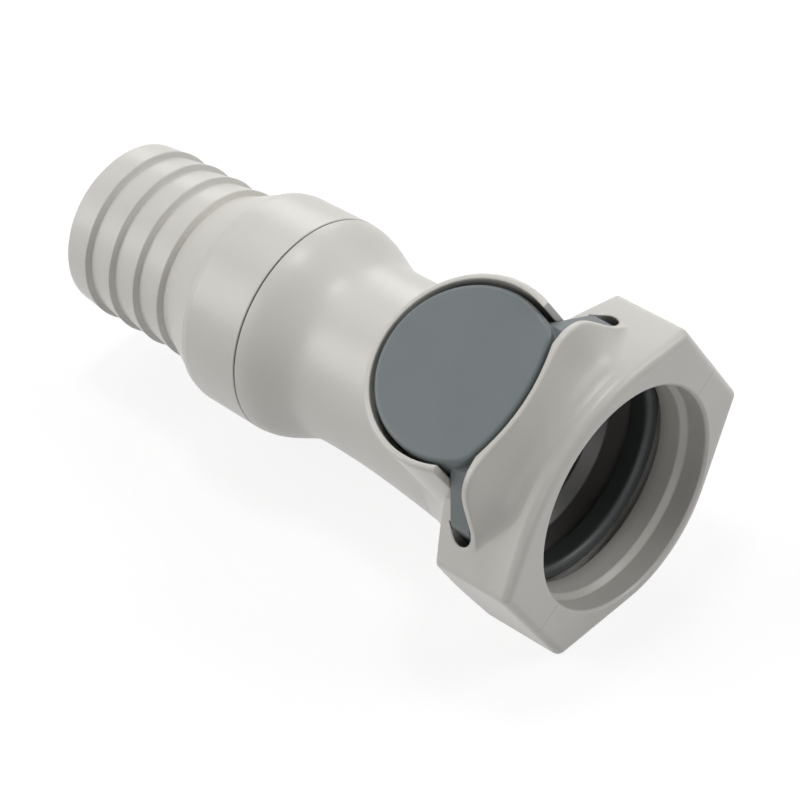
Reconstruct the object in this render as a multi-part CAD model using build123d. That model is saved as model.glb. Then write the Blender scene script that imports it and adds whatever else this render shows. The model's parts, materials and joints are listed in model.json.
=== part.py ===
from build123d import *
import os
from math import cos, radians, sin, sqrt, tanh

# Quick disconnect coupling for 19 mm hose, in millimetres.
# The pieces are drawn with the bore along X, the mouth at x = 0, the hose end towards -X
# and the thumb pad towards +Z. place() then rolls them onto the collar's lower flat,
# as the coupling lies on a bench, with the origin still at the centre of the mouth.

# Clearances
slide_gap = 0.20        # latch plate in its slot, each side
pad_gap = 0.60          # thumb pad inside its pocket
running_gap = 0.06      # valve stem in its guide, radial
seat_gap = 0.02         # between pieces that rest on each other

# Cutting tools
overshoot = 1.0         # past the face that a cut starts from
reach = 100.0           # past every side of the coupling

# Socket at the mouth
mouth_radius = 13.6
mouth_depth = 2.8
guide_radius = 13.1
lead_in_length = 0.8
mouth_lip = 0.3

# Latch slot across the collar
slot_front = 6.45
slot_width = 3.1
slot_half_span = 15.07
slot_floor_wall = 1.0

# Bores behind the slot
guide_wall_end = 8.55
flange_pocket_radius = 12.0
flange_pocket_length = 3.4
nose_bore_radius = 10.7
nose_bore_end = 22.4
throat_radius = 7.4
throat_length = 1.6
valve_chamber_radius = 9.6
spigot_socket_radius = 10.6
spigot_socket_length = 5.3

# Collar: a hexagon with a round bottom and a gently crowned top, flared down to the neck behind
collar_half_width = 17.9
collar_lower_radius = 15.3
collar_upper_distance = 16.7
collar_flat_slope = 30.0
collar_top = 15.7
collar_corner_radius = 0.9
collar_edge_radius = 1.1
collar_flare = [(9.6, 21.4), (10.3, 19.8), (11.3, 17.9), (12.8, 15.8), (15.4, 13.9), (19.5, 12.4)]

# Outer shape behind the collar
neck_station = 9.5
neck_radius = 13.6
waist_station = 38.0
waist_radius = 11.08
rear_flare_shares = [(0.35, 0.16), (0.69, 0.71)]
rear_flare_slope = 0.06
front_flare_shares = [(0.667, 0.575)]
front_flare_slope = -0.10
seam_station = 47.8
seam_radius = 13.65
seam_chamfer = 0.18

# Thumb guard in front of the pad: crest heights across it, and where its ramp starts and ends
guard_crest = [(0.0, 20.4), (1.6, 20.41), (3.2, 20.43), (4.8, 20.45), (6.4, 20.44), (7.9, 20.36), (9.2, 20.1),
               (10.3, 19.5), (11.2, 18.6), (12.0, 17.05), (12.7, 15.1), (13.4, 13.2), (14.1, 11.75),
               (14.8, 10.75), (15.5, 10.0)]
guard_arc_radius = 22.8
guard_lip = 0.45
guard_lip_shift = 1.05
guard_foot = 1.6
guard_foot_fade = 9.2
guard_foot_end = 15.0
guard_foot_shift = 3.7
guard_base = 6.0
guard_ramp_top = 0.16
guard_ramp_fall = 0.12

# Thumb pad and its cup
pad_station = 13.6
pad_radius = 10.35
pad_front = 7.7
pad_corner_radius = 2.6
pad_top = 20.6
pad_slope = 4.0
pad_edge_radius = 0.5
pad_skirt_bottom = 15.7
pad_ceiling_thickness = 1.8
pad_wall = 1.3
pocket_floor = 13.3
shelf_drop = 0.5
cup_wall = 0.75
cup_top = 20.9
cup_blend_radius = 7.0
cup_rim_radius = 0.45
latch_travel = 2.0

# Latch plate: a ring below, shoulders that slope up to the pad
plate_hole_radius = 12.5
plate_lower_band = 1.5
plate_half_width = 13.9
plate_shoulder_height = 12.3
plate_shoulder_radius = 2.0
plate_neck_half_width = 9.3
plate_neck_overlap = 1.68
plate_edge_radius = 0.8

# Latch spring
latch_spring_radius = 3.4
latch_spring_wire = 0.7
latch_spring_turns = 3.5
spring_boss_radius = 2.6
spring_boss_height = 1.1
spring_station = 16.4

# Hose barb
flange_length = 9.1
shoulder_length = 4.9
barb_first_peak = 63.6
barb_pitch = 4.17
barb_count = 4
barb_peak_radius = 10.96
barb_root_radius = 10.34
barb_step = 0.35
barb_end_radius = 10.54
barb_end = 80.1
barb_bore_radius = 8.0
spigot_wall_gap = 0.08
barb_chamfer = 0.4
seal_groove_gap = 0.1
shoulder_edge = [(-0.9, 0.15), (0.0, 0.35), (0.7, 0.8)]
shoulder_fall = 0.1

# Valve
poppet_head_radius = 8.4
poppet_head_length = 2.6
poppet_nose_radius = 6.6
poppet_nose_length = 1.0
seat_cone_gap = 0.4
poppet_stem_radius = 2.2
stem_overhang = 1.8
poppet_nose_chamfer = 0.5
valve_guide_length = 1.7
guide_hub_radius = 3.6
guide_hub_length = 4.2
guide_rim_width = 1.6
guide_rim_gap = 0.05
guide_spokes = 4
guide_spoke_width = 1.6
valve_spring_wire = 0.9
valve_spring_radius = 5.2
valve_spring_turns = 5

# Seals
poppet_seal_section = 1.8
poppet_seal_offset = 1.0
spigot_seal_section = 1.5
spigot_seal_station = 46.0

# Stations along the bore, measured back from the mouth
slot_back = slot_front + slot_width
shelf_height = collar_top - shelf_drop
pad_bottom = shelf_height + latch_travel + seat_gap
plate_neck_height = pad_bottom + plate_neck_overlap
flange_pocket_end = slot_back + flange_pocket_length
cup_radius = pad_radius + pad_gap + cup_wall
seat_start = nose_bore_end + throat_length
seat_end = seat_start + valve_chamber_radius - throat_radius
socket_front = seam_station - spigot_socket_length
guide_back = socket_front + valve_guide_length
poppet_cone_start = seat_start - (throat_radius - poppet_nose_radius) + seat_cone_gap
poppet_head_start = poppet_cone_start + poppet_head_radius - poppet_nose_radius
poppet_back = poppet_head_start + poppet_head_length
poppet_seal_station = seat_start + poppet_seal_offset
poppet_seal_centre = throat_radius + poppet_seal_offset - (poppet_seal_section / 2 + seat_gap) * sqrt(2)

# Heights of the collar's corners, and the crown arc that its two upper flats run into
flat_sine = sin(radians(collar_flat_slope))
flat_cosine = cos(radians(collar_flat_slope))
lower_corner = -(collar_lower_radius - collar_half_width * flat_sine) / flat_cosine
upper_corner = (collar_upper_distance - collar_half_width * flat_sine) / flat_cosine
crown_centre = (collar_top - collar_upper_distance) / (1 - flat_cosine)
crown_radius = collar_top - crown_centre
crown_half_width = crown_radius * flat_sine


def turned(points):
    """A solid of revolution about the bore, from (station back from the mouth, radius) points."""
    outline = Polyline(*[(-station, radius) for station, radius in points], close=True)
    return revolve(make_face(Plane.XZ * outline), Axis.X)


def rod(start, end, radius):
    """A round bar on the bore's axis between two stations."""
    return turned([(start, 0), (start, radius), (end, radius), (end, 0)])


def upright(face, low, high):
    """A plan outline drawn in X and Y, raised between two heights."""
    return extrude(Pos(0, 0, low) * face, high - low)


def coil(radius, wire, turns, length):
    """A helical wire whose ends lie inside the given length, standing on Z = 0."""
    rise = length - wire
    path = Helix(rise / turns, rise, radius)
    section = Plane(path @ 0, z_dir=path % 0) * Circle(wire / 2)
    return Pos(0, 0, wire / 2) * sweep(section, path, is_frenet=True)


def pad_outline(margin):
    """The thumb pad in plan: a disc with a shallow bowed front and two rounded corners."""
    disc = Pos(-pad_station, 0) * Circle(pad_radius + margin)
    bow = Pos(-pad_station + pad_front - guard_arc_radius, 0) * Circle(guard_arc_radius + margin)
    face = disc & bow
    return fillet(face.vertices(), pad_corner_radius + margin)


def crown_height(y):
    """Height of the collar's upper outline at a given y."""
    side = abs(y)
    if side < crown_half_width:
        return crown_centre + sqrt(crown_radius ** 2 - side ** 2)
    return (collar_upper_distance - side * flat_sine) / flat_cosine


def collar_outline():
    """The collar seen along the bore: a hexagon with a round bottom and a crowned top."""
    touch = (collar_lower_radius * flat_sine, -collar_lower_radius * flat_cosine)
    shoulder = (crown_half_width, crown_height(crown_half_width))
    right = [touch, (collar_half_width, lower_corner), (collar_half_width, upper_corner), shoulder]
    left = [(-y, z) for y, z in reversed(right)]
    crown = ThreePointArc(shoulder, (0, collar_top), left[0])
    bottom = ThreePointArc(left[-1], (0, -collar_lower_radius), touch)
    face = make_face(Polyline(*right) + crown + Polyline(*left) + bottom)
    corners = face.vertices().filter_by(lambda corner: abs(corner.X) > collar_half_width - 0.1)
    return Plane.YZ * fillet(corners, collar_corner_radius)


def collar():
    """The hexagonal collar, its front edge rounded and its back flared into the neck."""
    length = collar_flare[-1][0]
    prism = extrude(Pos(-length, 0, 0) * collar_outline(), length)
    front = prism.edges().filter_by(Plane.YZ).group_by(Axis.X)[-1]
    prism = fillet(front, collar_edge_radius)
    back = Spline(*[(-station, -radius) for station, radius in reversed(collar_flare)])
    base = Polyline(back @ 1, (overshoot, -collar_flare[0][1]), (overshoot, 0), (-length, 0), back @ 0)
    return prism & revolve(make_face(Plane.XZ * (back + base)), Axis.X)


def flare(wide, narrow, shares, slope):
    """A curve from a wide end to the waist's narrowest point, through shares of its run and rise."""
    run = wide[0] - narrow[0]
    rise = wide[1] - narrow[1]
    middle = [(narrow[0] + run * along, narrow[1] + rise * up) for along, up in shares]
    if run < 0:
        return Spline(wide, *reversed(middle), narrow, tangents=((1, slope), (1, 0)))
    return Spline(narrow, *middle, wide, tangents=((1, 0), (1, slope)))


def waist():
    """The turned outside between the collar and the seam: neck, waist and shoulder."""
    narrow = (-waist_station, -waist_radius)
    rear = (-seam_station, -seam_radius)
    front = (-neck_station, -neck_radius)
    curve = flare(rear, narrow, rear_flare_shares, rear_flare_slope)
    curve += flare(front, narrow, front_flare_shares, front_flare_slope)
    base = Polyline(front, (0, -neck_radius), (0, 0), (-seam_station, 0), rear)
    return revolve(make_face(Plane.XZ * (curve + base)), Axis.X)


def waist_and_cup():
    """The turned waist with the pad's round cup standing on it, blended by a large fillet."""
    wall = Pos(-pad_station, 0, 0) * Rot(0, 0, 180) * Cylinder(
        cup_radius, cup_top, align=(Align.CENTER, Align.CENTER, Align.MIN))
    joined = waist() + wall
    meeting = joined.edges().filter_by(GeomType.BSPLINE).filter_by(lambda edge: edge.center().Z > 0)
    joined = fillet(meeting, cup_blend_radius)
    rim = joined.edges().filter_by(GeomType.CIRCLE).group_by(Axis.Z)[-1]
    joined = fillet(rim, cup_rim_radius)
    middle = -slot_front - slot_width / 2
    behind = Pos(middle, 0, 0) * Box(reach, reach, reach, align=(Align.MAX, Align.CENTER, Align.CENTER))
    return joined & behind


def guard_section(y, crest):
    """One slice of the thumb guard: a thin lip, then a hollow ramp that runs out on the collar."""
    side = abs(y)
    lip_back = pad_station - pad_front - pad_gap
    bend = tanh(side ** 2 / (2 * guard_arc_radius * guard_lip_shift))
    lip = -(lip_back - guard_lip + guard_lip_shift * bend)
    fade = min(1, max(0, (side - guard_foot_fade) / (guard_foot_end - guard_foot_fade)))
    foot = -(guard_foot + guard_foot_shift * fade ** 2 * (3 - 2 * fade))
    ground = min(crown_height(y), crest) - seat_gap
    run = foot - lip
    end = (foot, ground)
    top_pull = (lip + guard_ramp_top * run, crest)
    foot_pull = (lip + guard_ramp_fall * run, ground)
    ramp = Bezier((lip, crest), top_pull, foot_pull, end)
    rest = Polyline(end, (foot, guard_base), (-slot_back, guard_base), (-slot_back, crest), (lip, crest))
    return Pos(0, y, 0) * make_face(Plane.XZ * (ramp + rest))


def guard():
    """The thumb guard: slices joined into one smooth shape that thins out into two ears."""
    left = [(-y, crest) for y, crest in reversed(guard_crest[1:])]
    return loft([guard_section(y, crest) for y, crest in left + guard_crest])


def slot_room():
    """The space the latch plate slides in, open upwards."""
    ends = [Pos(-slot_front - slot_width / 2, side * (slot_half_span - slot_width / 2)) * Circle(slot_width / 2)
            for side in (-1, 1)]
    middle = Pos(-slot_front - slot_width / 2, 0) * Rectangle(slot_width, 2 * slot_half_span - slot_width)
    channel = upright(middle + ends[0] + ends[1], 0, reach)
    return channel + rod(slot_front, slot_back, collar_lower_radius - slot_floor_wall)


def body_bores():
    """Everything bored from the mouth and from the hose end."""
    return turned([
        (-overshoot, 0),
        (-overshoot, mouth_radius + mouth_lip),
        (0, mouth_radius + mouth_lip),
        (mouth_lip, mouth_radius),
        (mouth_depth, mouth_radius),
        (mouth_depth + lead_in_length, guide_radius),
        (guide_wall_end, guide_radius),
        (guide_wall_end, flange_pocket_radius),
        (flange_pocket_end, flange_pocket_radius),
        (flange_pocket_end + flange_pocket_radius - nose_bore_radius, nose_bore_radius),
        (nose_bore_end, nose_bore_radius),
        (nose_bore_end, throat_radius),
        (seat_start, throat_radius),
        (seat_end, valve_chamber_radius),
        (socket_front, valve_chamber_radius),
        (socket_front, spigot_socket_radius),
        (seam_station + overshoot, spigot_socket_radius),
        (seam_station + overshoot, 0),
    ])


def main_body():
    outside = collar() + waist_and_cup() + guard()
    pocket = upright(pad_outline(pad_gap), pocket_floor, reach)
    shelf = Pos(-slot_front / 2, 0, 0) * Box(slot_front, reach, 2 * shelf_height)
    outside -= pocket - shelf
    boss = Pos(-spring_station, 0, pocket_floor) * Cylinder(
        spring_boss_radius, spring_boss_height, align=(Align.CENTER, Align.CENTER, Align.MIN))
    return outside - slot_room() - body_bores() + boss


def plate_outline():
    """The latch plate seen along the bore, at rest, with its lock hole raised by the latch's travel."""
    ring = Pos(0, latch_travel) * Circle(plate_hole_radius + plate_lower_band)
    right = [(plate_half_width, latch_travel), (plate_half_width, plate_shoulder_height),
             (plate_neck_half_width, plate_neck_height)]
    left = [(-y, z) for y, z in reversed(right)]
    shoulders = make_face(Polyline(*right, *left, close=True))
    bends = shoulders.vertices().filter_by(lambda bend: abs(bend.Y - plate_shoulder_height) < 0.1)
    shoulders = fillet(bends, plate_shoulder_radius)
    hole = Pos(0, latch_travel) * Circle(plate_hole_radius)
    return Plane.YZ * (ring + shoulders - hole)


def thumb_latch():
    """One moulding: the pad, its skirt behind the plate, and the plate with the lock hole."""
    pad = upright(pad_outline(0), pad_bottom, pad_top + overshoot)
    face = Plane((-pad_station, 0, pad_top), z_dir=(sin(radians(pad_slope)), 0, cos(radians(pad_slope))))
    pad = split(pad, face, keep=Keep.BOTTOM)
    pad = fillet(pad.faces().sort_by(Axis.Z)[-1].edges(), pad_edge_radius)
    ceiling = pad_top - pad_ceiling_thickness
    skirt = upright(pad_outline(0) - pad_outline(-pad_wall), pad_skirt_bottom, ceiling)
    behind = Pos(-slot_back - slide_gap, 0, 0) * Box(
        reach, reach, reach, align=(Align.MAX, Align.CENTER, Align.CENTER))
    pad += skirt & behind
    room = upright(pad_outline(-pad_wall), 0, ceiling) & behind
    pad -= room
    boss = Pos(-spring_station, 0, ceiling - spring_boss_height) * Cylinder(
        spring_boss_radius, spring_boss_height + overshoot, align=(Align.CENTER, Align.CENTER, Align.MIN))
    plate = extrude(Pos(-slot_back + slide_gap, 0, 0) * plate_outline(), slot_width - 2 * slide_gap)
    rim = plate.edges().filter_by(GeomType.CIRCLE).filter_by(
        lambda edge: abs(edge.radius - plate_hole_radius) < 1e-3).group_by(Axis.X)[-1]
    plate = fillet(rim, plate_edge_radius)
    return pad + boss + plate


def latch_spring():
    length = pad_top - pad_ceiling_thickness - pocket_floor - 2 * seat_gap
    spring = coil(latch_spring_radius, latch_spring_wire, latch_spring_turns, length)
    return Pos(-spring_station, 0, pocket_floor + seat_gap) * spring


def hose_barb():
    shoulder_start = seam_station + seat_gap + flange_length
    tail = shoulder_start + shoulder_length
    spigot_front = guide_back + seat_gap
    spigot_radius = spigot_socket_radius - spigot_wall_gap
    groove_low = spigot_seal_station - spigot_seal_section / 2 - seal_groove_gap
    groove_high = spigot_seal_station + spigot_seal_section / 2 + seal_groove_gap
    groove_floor = spigot_socket_radius - spigot_seal_section - 2 * seat_gap
    outline = [
        (spigot_front, barb_bore_radius),
        (spigot_front, spigot_radius - barb_chamfer),
        (spigot_front + barb_chamfer, spigot_radius),
        (groove_low, spigot_radius),
        (groove_low, groove_floor),
        (groove_high, groove_floor),
        (groove_high, spigot_radius),
        (seam_station + seat_gap, spigot_radius),
        (seam_station + seat_gap, seam_radius - seam_chamfer),
        (seam_station + seat_gap + seam_chamfer, seam_radius),
    ]
    outline += [(shoulder_start + step, seam_radius - drop) for step, drop in shoulder_edge]
    outline.append((tail, barb_peak_radius - shoulder_fall))
    for ring in range(barb_count):
        peak = barb_first_peak + ring * barb_pitch
        outline.append((peak - barb_step, barb_root_radius))
        outline.append((peak, barb_peak_radius))
    outline.append((barb_end - barb_chamfer, barb_end_radius))
    outline.append((barb_end, barb_end_radius - barb_chamfer))
    outline.append((barb_end, barb_bore_radius + barb_chamfer))
    outline.append((barb_end - barb_chamfer, barb_bore_radius))
    return turned(outline)


def seal(station, centre_radius, section):
    """An O-ring on the bore's axis."""
    return Pos(-station, 0, 0) * Rot(0, 90, 0) * Torus(centre_radius, section / 2)


def spigot_seal():
    centre = spigot_socket_radius - seat_gap - spigot_seal_section / 2
    return seal(spigot_seal_station, centre, spigot_seal_section)


def poppet():
    """The valve's moving half: nose, coned head with a seal groove, and stem."""
    front = poppet_cone_start
    head = poppet_head_start
    solid = turned([
        (front - poppet_nose_length, 0),
        (front - poppet_nose_length, poppet_nose_radius - poppet_nose_chamfer),
        (front - poppet_nose_length + poppet_nose_chamfer, poppet_nose_radius),
        (front, poppet_nose_radius),
        (head, poppet_head_radius),
        (poppet_back, poppet_head_radius),
        (poppet_back, poppet_stem_radius),
        (guide_back + stem_overhang, poppet_stem_radius),
        (guide_back + stem_overhang, 0),
    ])
    return solid - seal(poppet_seal_station, poppet_seal_centre, poppet_seal_section + 2 * seat_gap)


def poppet_seal():
    return seal(poppet_seal_station, poppet_seal_centre, poppet_seal_section)


def valve_spring():
    length = socket_front - poppet_back - 3 * seat_gap
    spring = coil(valve_spring_radius, valve_spring_wire, valve_spring_turns, length)
    return Pos(-poppet_back - seat_gap, 0, 0) * Rot(0, -90, 0) * spring


def valve_guide():
    """The spider that carries the stem: a rim, spokes and a long hub."""
    rim_radius = spigot_socket_radius - guide_rim_gap
    start = socket_front + seat_gap
    rim = rod(start, guide_back, rim_radius) - rod(start - overshoot, guide_back + overshoot, rim_radius - guide_rim_width)
    hub = rod(guide_back - guide_hub_length, guide_back, guide_hub_radius)
    spoke = Pos(-(start + guide_back) / 2, 0, rim_radius / 2) * Box(guide_back - start, guide_spoke_width,
                                                                   rim_radius - guide_rim_width / 2)
    arms = [Rot(360 / guide_spokes * arm, 0, 0) * spoke for arm in range(guide_spokes)]
    bore = rod(guide_back - guide_hub_length - overshoot, guide_back + overshoot, poppet_stem_radius + running_gap)
    return rim + hub + arms - bore


def place(solid):
    """Rolls the coupling about its bore onto the collar's lower flat."""
    return Rot(collar_flat_slope, 0, 0) * solid


nodes = {
    "main_body": main_body(),
    "hose_barb": hose_barb(),
    "thumb_latch": thumb_latch(),
    "latch_spring": latch_spring(),
    "poppet": poppet(),
    "poppet_seal": poppet_seal(),
    "valve_spring": valve_spring(),
    "valve_guide": valve_guide(),
    "spigot_seal": spigot_seal(),
}

os.makedirs("parts", exist_ok=True)
for name, solid in nodes.items():
    export_step(place(solid), f"parts/{name}.step")
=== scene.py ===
import json
import math
import bpy
import numpy as np
from mathutils import Euler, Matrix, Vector


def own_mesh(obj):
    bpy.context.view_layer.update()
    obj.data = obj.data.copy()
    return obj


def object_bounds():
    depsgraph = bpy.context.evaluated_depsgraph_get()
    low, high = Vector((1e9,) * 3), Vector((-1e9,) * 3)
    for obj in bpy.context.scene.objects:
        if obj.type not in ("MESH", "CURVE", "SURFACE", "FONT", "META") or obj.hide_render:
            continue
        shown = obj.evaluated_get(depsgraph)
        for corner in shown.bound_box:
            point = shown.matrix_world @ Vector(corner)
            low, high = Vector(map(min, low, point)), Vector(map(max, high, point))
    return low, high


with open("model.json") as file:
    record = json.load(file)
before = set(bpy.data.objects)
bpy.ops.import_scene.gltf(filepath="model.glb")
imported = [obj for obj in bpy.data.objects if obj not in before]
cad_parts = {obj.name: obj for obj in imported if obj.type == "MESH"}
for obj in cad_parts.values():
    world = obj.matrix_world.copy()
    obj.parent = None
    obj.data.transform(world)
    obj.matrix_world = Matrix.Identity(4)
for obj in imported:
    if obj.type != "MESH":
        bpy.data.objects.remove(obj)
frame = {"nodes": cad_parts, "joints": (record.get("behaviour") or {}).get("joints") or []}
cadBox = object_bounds()
print("frame loaded:", len(frame["nodes"]), "nodes")

mm = 0.001
noiseBand = (0.3, 0.7)    # where most values of a noise lie
noiseRoughness = 0.55
white = (1, 1, 1, 1)


# small helpers for node trees

def newTree(name):
    material = bpy.data.materials.new(name)
    material.use_nodes = True
    tree = material.node_tree
    tree.nodes.clear()
    return material, tree


def addNode(tree, kind, **values):
    # makes one node; names that aren't properties are its input sockets
    node = tree.nodes.new(kind)
    for key, value in values.items():
        if hasattr(node, key):
            setattr(node, key, value)
        else:
            node.inputs[key.replace("_", " ")].default_value = value
    return node


def noiseAt(tree, coords, scale, detail=3.0):
    noise = addNode(tree, "ShaderNodeTexNoise", Scale=scale, Detail=detail,
                    Roughness=noiseRoughness)
    tree.links.new(coords.outputs["Object"], noise.inputs["Vector"])
    return noise


def spread(tree, source, low, high):
    # maps the usual values of a noise onto low..high
    mapper = addNode(tree, "ShaderNodeMapRange")
    mapper.inputs["From Min"].default_value = noiseBand[0]
    mapper.inputs["From Max"].default_value = noiseBand[1]
    mapper.inputs["To Min"].default_value = low
    mapper.inputs["To Max"].default_value = high
    tree.links.new(source, mapper.inputs["Value"])
    return mapper.outputs["Result"]


def mathAt(tree, operation, first, second):
    # one arithmetic node; either value may be a number or another node's output
    node = addNode(tree, "ShaderNodeMath", operation=operation)
    for socket, value in zip(node.inputs, (first, second)):
        if isinstance(value, (int, float)):
            socket.default_value = value
        else:
            tree.links.new(value, socket)
    return node.outputs["Value"]


def rampOver(tree, source, start, end):
    # 0 at start, 1 at end, smooth between
    mapper = addNode(tree, "ShaderNodeMapRange", interpolation_type="SMOOTHSTEP")
    mapper.inputs["From Min"].default_value = start
    mapper.inputs["From Max"].default_value = end
    tree.links.new(source, mapper.inputs["Value"])
    return mapper.outputs["Result"]


# painted shade, where the plastic is made darker: deep in the bore, in the seam line's groove and
# along the mould's parting line
# stations run back from the mouth along x
paintedShadeLook = {
    "socketRadius": 13.75 * mm,
    "socketEnd": -10.0 * mm,
    "boreRadius": 10.9 * mm,
    "boreStart": -17.0 * mm,
    "soft": 0.10 * mm,              # how wide the edge of the dark part is
    "fadeStart": -50.0 * mm,        # the dark part ends between these, before the tail
    "fadeEnd": -59.0 * mm,
    "boreDark": 0.82,
    "seamStation": -47.81 * mm,
    "seamHalfWidth": 0.11 * mm,
    "seamEdge": (1.4, 0.8),         # half widths at which the line starts and is full
    "seamDark": 0.92,
    "partingTurn": math.radians(30),
    "partingHalfWidth": 0.07 * mm,
    "partingEdge": 1.6,
    "partingDark": 0.30,
    "frontFace": -0.6 * mm,         # the parting line shows only in front of this
    # near black that the painted shade mixes towards
    "paintedShadeColour": (0.004, 0.004, 0.004, 1),
}


def paintedShadeAt(tree, coords, look, depths):
    # how much painted shade a point gets, from its distance to the bore's axis and its depth behind
    # the mouth
    parts = addNode(tree, "ShaderNodeSeparateXYZ")
    tree.links.new(coords.outputs["Object"], parts.inputs["Vector"])
    x, y, z = (parts.outputs[axis] for axis in "XYZ")
    square = mathAt(tree, "ADD", mathAt(tree, "MULTIPLY", y, y), mathAt(tree, "MULTIPLY", z, z))
    radius = mathAt(tree, "POWER", square, 0.5)
    narrowing = rampOver(tree, x, look["socketEnd"], look["boreStart"])
    drop = mathAt(tree, "MULTIPLY", narrowing, look["socketRadius"] - look["boreRadius"])
    wall = mathAt(tree, "SUBTRACT", mathAt(tree, "SUBTRACT", look["socketRadius"], drop), radius)
    inside = rampOver(tree, wall, -look["soft"], 0.0)
    depth = mathAt(tree, "MULTIPLY", rampOver(tree, x, *depths),
                   rampOver(tree, x, look["fadeEnd"], look["fadeStart"]))
    bore = mathAt(tree, "MULTIPLY", mathAt(tree, "MULTIPLY", inside, depth), look["boreDark"])
    away = mathAt(tree, "ABSOLUTE", mathAt(tree, "SUBTRACT", x, look["seamStation"]), 0)
    line = rampOver(tree, away, *(look["seamHalfWidth"] * edge for edge in look["seamEdge"]))
    seam = mathAt(tree, "MULTIPLY", line, look["seamDark"])
    across = mathAt(tree, "SUBTRACT", mathAt(tree, "MULTIPLY", z, math.cos(look["partingTurn"])),
                    mathAt(tree, "MULTIPLY", y, math.sin(look["partingTurn"])))
    partingWidth = look["partingHalfWidth"] * look["partingEdge"]
    thin = rampOver(tree, mathAt(tree, "ABSOLUTE", across, 0), partingWidth, 0.0)
    front = rampOver(tree, x, look["frontFace"] - look["soft"], look["frontFace"])
    outer = mathAt(tree, "SUBTRACT", 1.0, inside)
    parting = mathAt(tree, "MULTIPLY", mathAt(tree, "MULTIPLY", thin, front), outer)
    parting = mathAt(tree, "MULTIPLY", parting, look["partingDark"])
    return mathAt(tree, "MAXIMUM", mathAt(tree, "MAXIMUM", bore, seam), parting)


def darken(tree, colour, amount):
    # mixes a colour towards near black for the painted shade; a colour mix has its colours on inputs
    # 6 and 7
    mix = addNode(tree, "ShaderNodeMix", data_type="RGBA")
    mix.inputs[7].default_value = paintedShadeLook["paintedShadeColour"]
    tree.links.new(amount, mix.inputs[0])
    tree.links.new(colour, mix.inputs[6])
    return mix.outputs[2]


# finishes

# what the three mouldings share
mouldingLook = {
    "ior": 1.5,
    "specular": 0.5,
    "cloudDetail": 4.0,
    "cloudEnds": (0.35, 0.65),
    "driftFiner": 2.3,
    "drift": 0.03,
    "grainDetail": 2.0,
    "grainDepth": 0.02 * mm,
    "edgeSamples": 8,
}


def mouldedPlastic(name, look):
    # satin moulding: faint flow mottling, spark-etched grain, roughness that drifts a little, and
    # painted shade in the bore, in the seam and along the parting line
    shared = mouldingLook
    material, tree = newTree(name)
    coords = addNode(tree, "ShaderNodeTexCoord")
    shader = addNode(tree, "ShaderNodeBsdfPrincipled", IOR=shared["ior"])
    shader.inputs["Specular IOR Level"].default_value = shared["specular"]
    output = addNode(tree, "ShaderNodeOutputMaterial")
    clouds = noiseAt(tree, coords, look["cloudScale"], shared["cloudDetail"])
    ramp = addNode(tree, "ShaderNodeValToRGB")
    ramp.color_ramp.elements[0].position = shared["cloudEnds"][0]
    ramp.color_ramp.elements[0].color = (*look["shade"], 1)
    ramp.color_ramp.elements[1].position = shared["cloudEnds"][1]
    ramp.color_ramp.elements[1].color = (*look["colour"], 1)
    tree.links.new(clouds.outputs["Fac"], ramp.inputs["Fac"])
    # painted shade deep in the bore, in the seam and along the parting line
    paintedShade = paintedShadeAt(tree, coords, paintedShadeLook, look["paintedShadeDepths"])
    tree.links.new(darken(tree, ramp.outputs["Color"], paintedShade), shader.inputs["Base Color"])
    drift = noiseAt(tree, coords, look["cloudScale"] * shared["driftFiner"])
    smoothest = look["roughness"] - shared["drift"]
    roughest = look["roughness"] + shared["drift"]
    rough = spread(tree, drift.outputs["Fac"], smoothest, roughest)
    tree.links.new(rough, shader.inputs["Roughness"])
    grain = noiseAt(tree, coords, look["grainScale"], shared["grainDetail"])
    bump = addNode(tree, "ShaderNodeBump", Strength=look["grainStrength"],
                   Distance=shared["grainDepth"])
    tree.links.new(grain.outputs["Fac"], bump.inputs["Height"])
    if look["edgeRadius"]:
        edge = addNode(tree, "ShaderNodeBevel", samples=shared["edgeSamples"],
                       Radius=look["edgeRadius"])
        tree.links.new(edge.outputs["Normal"], bump.inputs["Normal"])
    tree.links.new(bump.outputs["Normal"], shader.inputs["Normal"])
    tree.links.new(shader.outputs["BSDF"], output.inputs["Surface"])
    return material


def sealRubber(name, look):
    # dull black rubber with a dusty bloom
    material, tree = newTree(name)
    coords = addNode(tree, "ShaderNodeTexCoord")
    shader = addNode(tree, "ShaderNodeBsdfPrincipled")
    output = addNode(tree, "ShaderNodeOutputMaterial")
    dust = noiseAt(tree, coords, look["dustScale"])
    ramp = addNode(tree, "ShaderNodeValToRGB")
    ramp.color_ramp.elements[0].color = (*look["colour"], 1)
    ramp.color_ramp.elements[1].color = (*look["bloom"], 1)
    tree.links.new(dust.outputs["Fac"], ramp.inputs["Fac"])
    tree.links.new(ramp.outputs["Color"], shader.inputs["Base Color"])
    rough = spread(tree, dust.outputs["Fac"], *look["roughness"])
    tree.links.new(rough, shader.inputs["Roughness"])
    tree.links.new(shader.outputs["BSDF"], output.inputs["Surface"])
    return material


def springWire(name, look):
    # drawn stainless wire: fine streaks in its roughness
    material, tree = newTree(name)
    coords = addNode(tree, "ShaderNodeTexCoord")
    shader = addNode(tree, "ShaderNodeBsdfPrincipled", Metallic=1.0)
    shader.inputs["Base Color"].default_value = (*look["colour"], 1)
    output = addNode(tree, "ShaderNodeOutputMaterial")
    streak = noiseAt(tree, coords, look["streakScale"], look["streakDetail"])
    rough = spread(tree, streak.outputs["Fac"], *look["roughness"])
    tree.links.new(rough, shader.inputs["Roughness"])
    tree.links.new(shader.outputs["BSDF"], output.inputs["Surface"])
    return material


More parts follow.
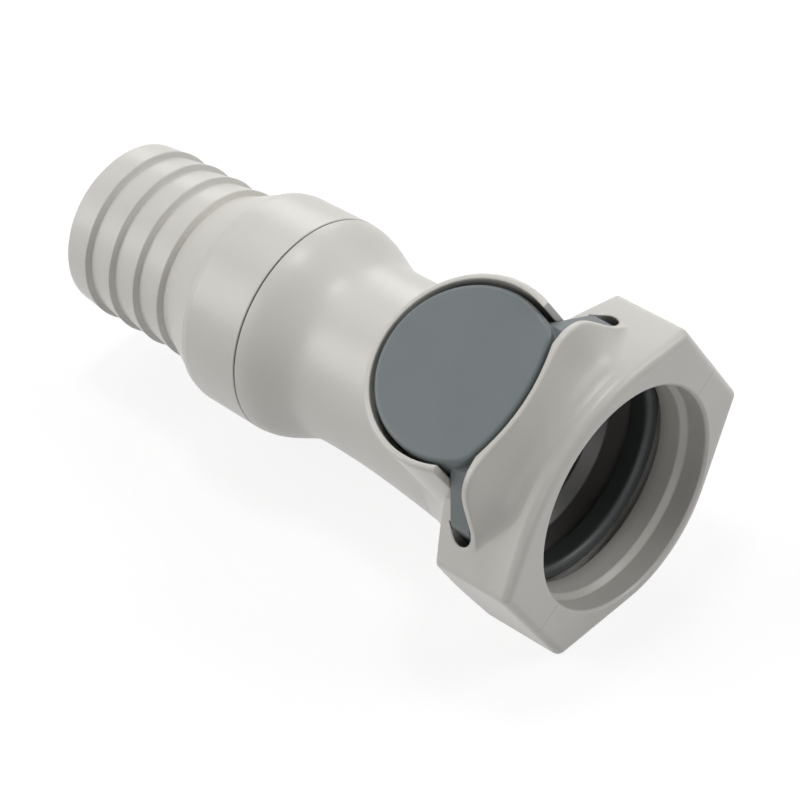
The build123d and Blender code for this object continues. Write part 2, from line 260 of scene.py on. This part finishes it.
housingLook = {
    "colour": (0.630, 0.612, 0.572),
    "shade": (0.600, 0.583, 0.545),
    "roughness": 0.35,
    "cloudScale": 60.0,
    "grainScale": 5200.0,
    "grainStrength": 0.25,
    "edgeRadius": 0.35 * mm,
    # depths where the painted shade in the bore begins and is full
    "paintedShadeDepths": (-4.5 * mm, -8.8 * mm),
}
latchLook = {
    "colour": (0.150, 0.171, 0.177),
    "shade": (0.139, 0.159, 0.165),
    "roughness": 0.46,
    "cloudScale": 90.0,
    "grainScale": 6400.0,
    "grainStrength": 0.35,
    "edgeRadius": 0.20 * mm,
    # depths where the painted shade in the bore begins and is full
    "paintedShadeDepths": (-1.0 * mm, -8.0 * mm),
}
valveLook = {
    "colour": (0.330, 0.330, 0.290),
    "shade": (0.310, 0.310, 0.272),
    "roughness": 0.45,
    "cloudScale": 70.0,
    "grainScale": 5200.0,
    "grainStrength": 0.2,
    "edgeRadius": 0.0,
    # depths where the painted shade in the bore begins and is full
    "paintedShadeDepths": (-2.0 * mm, -9.0 * mm),
}
sealLook = {
    "colour": (0.012, 0.012, 0.013),
    "bloom": (0.030, 0.030, 0.032),
    "dustScale": 900.0,
    "roughness": (0.55, 0.70),
}
wireLook = {
    "colour": (0.62, 0.62, 0.63),
    "streakScale": 1400.0,
    "streakDetail": 5.0,
    "roughness": (0.22, 0.38),
}

finishes = {
    "main_body": mouldedPlastic("housingPlastic", housingLook),
    "thumb_latch": mouldedPlastic("latchPlastic", latchLook),
    "poppet": mouldedPlastic("valvePlastic", valveLook),
    "poppet_seal": sealRubber("sealRubber", sealLook),
    "latch_spring": springWire("springWire", wireLook),
}
finishes["hose_barb"] = finishes["main_body"]
finishes["valve_guide"] = finishes["poppet"]
finishes["spigot_seal"] = finishes["poppet_seal"]
finishes["valve_spring"] = finishes["latch_spring"]

for nodeName, finish in finishes.items():
    node = frame["nodes"][nodeName]
    for slot in node.material_slots:
        slot.material = finish
print("finishes given to", len(finishes), "nodes")


# springs: how much of their length is left when the piece they push moves its full travel

# toward points from the end that stays still to the end that moves
springMoves = {
    "latch_spring": {"joint": "latch_press", "toward": (0, -0.5, 0.866)},
    "valve_spring": {"joint": "valve_open", "toward": (1, 0, 0)},
}
travels = {joint["name"]: max(joint["range_m"]) for joint in frame["joints"]}


def shortenSpring(node, move):
    # the still end is the lowest point along toward; what's left of the length is 1 - travel / length
    points = np.empty((len(node.data.vertices), 3), np.float32)
    node.data.vertices.foreach_get("co", points.ravel())
    along = points @ np.array(move["toward"])
    anchor = points[along.argmin()].tolist()
    keep = float(1 - travels[move["joint"]] / (along.max() - along.min()))
    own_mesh(node)
    return keep


for nodeName, move in springMoves.items():
    keep = shortenSpring(frame["nodes"][nodeName], move)
    print(nodeName, "keeps", round(keep, 3), "of its length")


# floor, light and camera

stageLook = {
    "size": 3.0,
    "floorColour": (0.60, 0.60, 0.60, 1),
    "shadowColour": (0.20, 0.20, 0.20, 1),
    "glow": 0.84,
    "ambient": 0.07,
}


def backgroundRays(tree):
    # 1 for a ray that shows the background: straight, mirrored or through glass
    rays = addNode(tree, "ShaderNodeLightPath")
    mirrored = mathAt(tree, "MAXIMUM", rays.outputs["Is Glossy Ray"],
                      rays.outputs["Is Transmission Ray"])
    return mathAt(tree, "MAXIMUM", rays.outputs["Is Camera Ray"], mirrored)


def buildFloor(look):
    # a pale sheet under the part; the camera sees it near white and keeps the soft shadow
    half = look["size"] / 2
    low = cadBox[0][2]
    mesh = bpy.data.meshes.new("floor")
    corners = [(-half, -half, low), (half, -half, low), (half, half, low), (-half, half, low)]
    mesh.from_pydata(corners, [], [(0, 1, 2, 3)])
    floor = bpy.data.objects.new("floor", mesh)
    bpy.context.scene.collection.objects.link(floor)
    material, tree = newTree("paperFloor")
    paper = addNode(tree, "ShaderNodeBsdfDiffuse", Color=look["floorColour"])
    seen = addNode(tree, "ShaderNodeBsdfDiffuse", Color=look["shadowColour"])
    glow = addNode(tree, "ShaderNodeEmission", Strength=look["glow"])
    both = addNode(tree, "ShaderNodeAddShader")
    mix = addNode(tree, "ShaderNodeMixShader")
    output = addNode(tree, "ShaderNodeOutputMaterial")
    tree.links.new(seen.outputs["BSDF"], both.inputs[0])
    tree.links.new(glow.outputs["Emission"], both.inputs[1])
    tree.links.new(backgroundRays(tree), mix.inputs[0])
    tree.links.new(paper.outputs["BSDF"], mix.inputs[1])
    tree.links.new(both.outputs["Shader"], mix.inputs[2])
    tree.links.new(mix.outputs["Shader"], output.inputs["Surface"])
    mesh.materials.append(material)


def buildWorld(look):
    world = bpy.data.worlds.new("studio")
    world.use_nodes = True
    tree = world.node_tree
    tree.nodes.clear()
    rays = addNode(tree, "ShaderNodeLightPath")
    seen = addNode(tree, "ShaderNodeBackground", Strength=1.0)
    seen.inputs["Color"].default_value = white
    ambient = addNode(tree, "ShaderNodeBackground", Strength=look["ambient"])
    ambient.inputs["Color"].default_value = white
    mix = addNode(tree, "ShaderNodeMixShader")
    output = addNode(tree, "ShaderNodeOutputWorld")
    tree.links.new(backgroundRays(tree), mix.inputs[0])
    tree.links.new(ambient.outputs["Background"], mix.inputs[1])
    tree.links.new(seen.outputs["Background"], mix.inputs[2])
    tree.links.new(mix.outputs["Shader"], output.inputs["Surface"])
    bpy.context.scene.world = world


# softboxes: the direction each shines from (degrees round from +X, and up), how wide, how strong
softboxes = {
    "topBox": {"around": 140, "up": 76, "width": 0.20, "watts": 2.1},
    "backLeftBox": {"around": 132, "up": 24, "width": 0.40, "watts": 1.5},
    "backBox": {"around": 90, "up": 50, "width": 0.50, "watts": 0.9},
    "backRightBox": {"around": 42, "up": 38, "width": 0.45, "watts": 2.8},
    "frontLeftBox": {"around": 225, "up": 25, "width": 0.55, "watts": 3.7},
    "leftBox": {"around": 180, "up": 50, "width": 0.50, "watts": 0.8},
    "frontRightBox": {"around": 315, "up": 15, "width": 0.50, "watts": 1.0},
}
boxDistance = 0.9
middle = Vector(((cadBox[0][i] + cadBox[1][i]) / 2 for i in range(3)))


def buildLights(boxes):
    for name, box in boxes.items():
        lamp = bpy.data.lights.new(name, "AREA")
        lamp.shape = "SQUARE"
        lamp.size = box["width"]
        lamp.energy = box["watts"]
        holder = bpy.data.objects.new(name, lamp)
        bpy.context.scene.collection.objects.link(holder)
        turn = Euler((0, -math.radians(box["up"]), math.radians(box["around"])))
        arm = Vector((boxDistance, 0, 0))
        arm.rotate(turn)
        holder.location = middle + arm
        holder.rotation_euler = (-arm).to_track_quat("-Z", "Y").to_euler()


cameraLook = {
    "place": (0.18341, -0.20465, 0.24848),
    "target": (-0.02249, -0.01159, 0.01003),
    "roll": 5.205,
    "lens": 152.05,
    "sensor": 36,
    "near": 0.01,
    "far": 10,
}


def buildCamera(look):
    data = bpy.data.cameras.new("camera")
    data.lens = look["lens"]
    data.sensor_width = look["sensor"]
    data.clip_start = look["near"]
    data.clip_end = look["far"]
    camera = bpy.data.objects.new("camera", data)
    bpy.context.scene.collection.objects.link(camera)
    camera.location = look["place"]
    aim = Vector(look["target"]) - Vector(look["place"])
    level = aim.to_track_quat("-Z", "Y").to_matrix()
    roll = Euler((0, 0, -math.radians(look["roll"]))).to_matrix()
    camera.rotation_euler = (level @ roll).to_euler()
    bpy.context.scene.camera = camera


buildFloor(stageLook)
buildWorld(stageLook)
buildLights(softboxes)
buildCamera(cameraLook)
bpy.context.scene.view_settings.view_transform = "Standard"
print("stage, lights and camera ready")
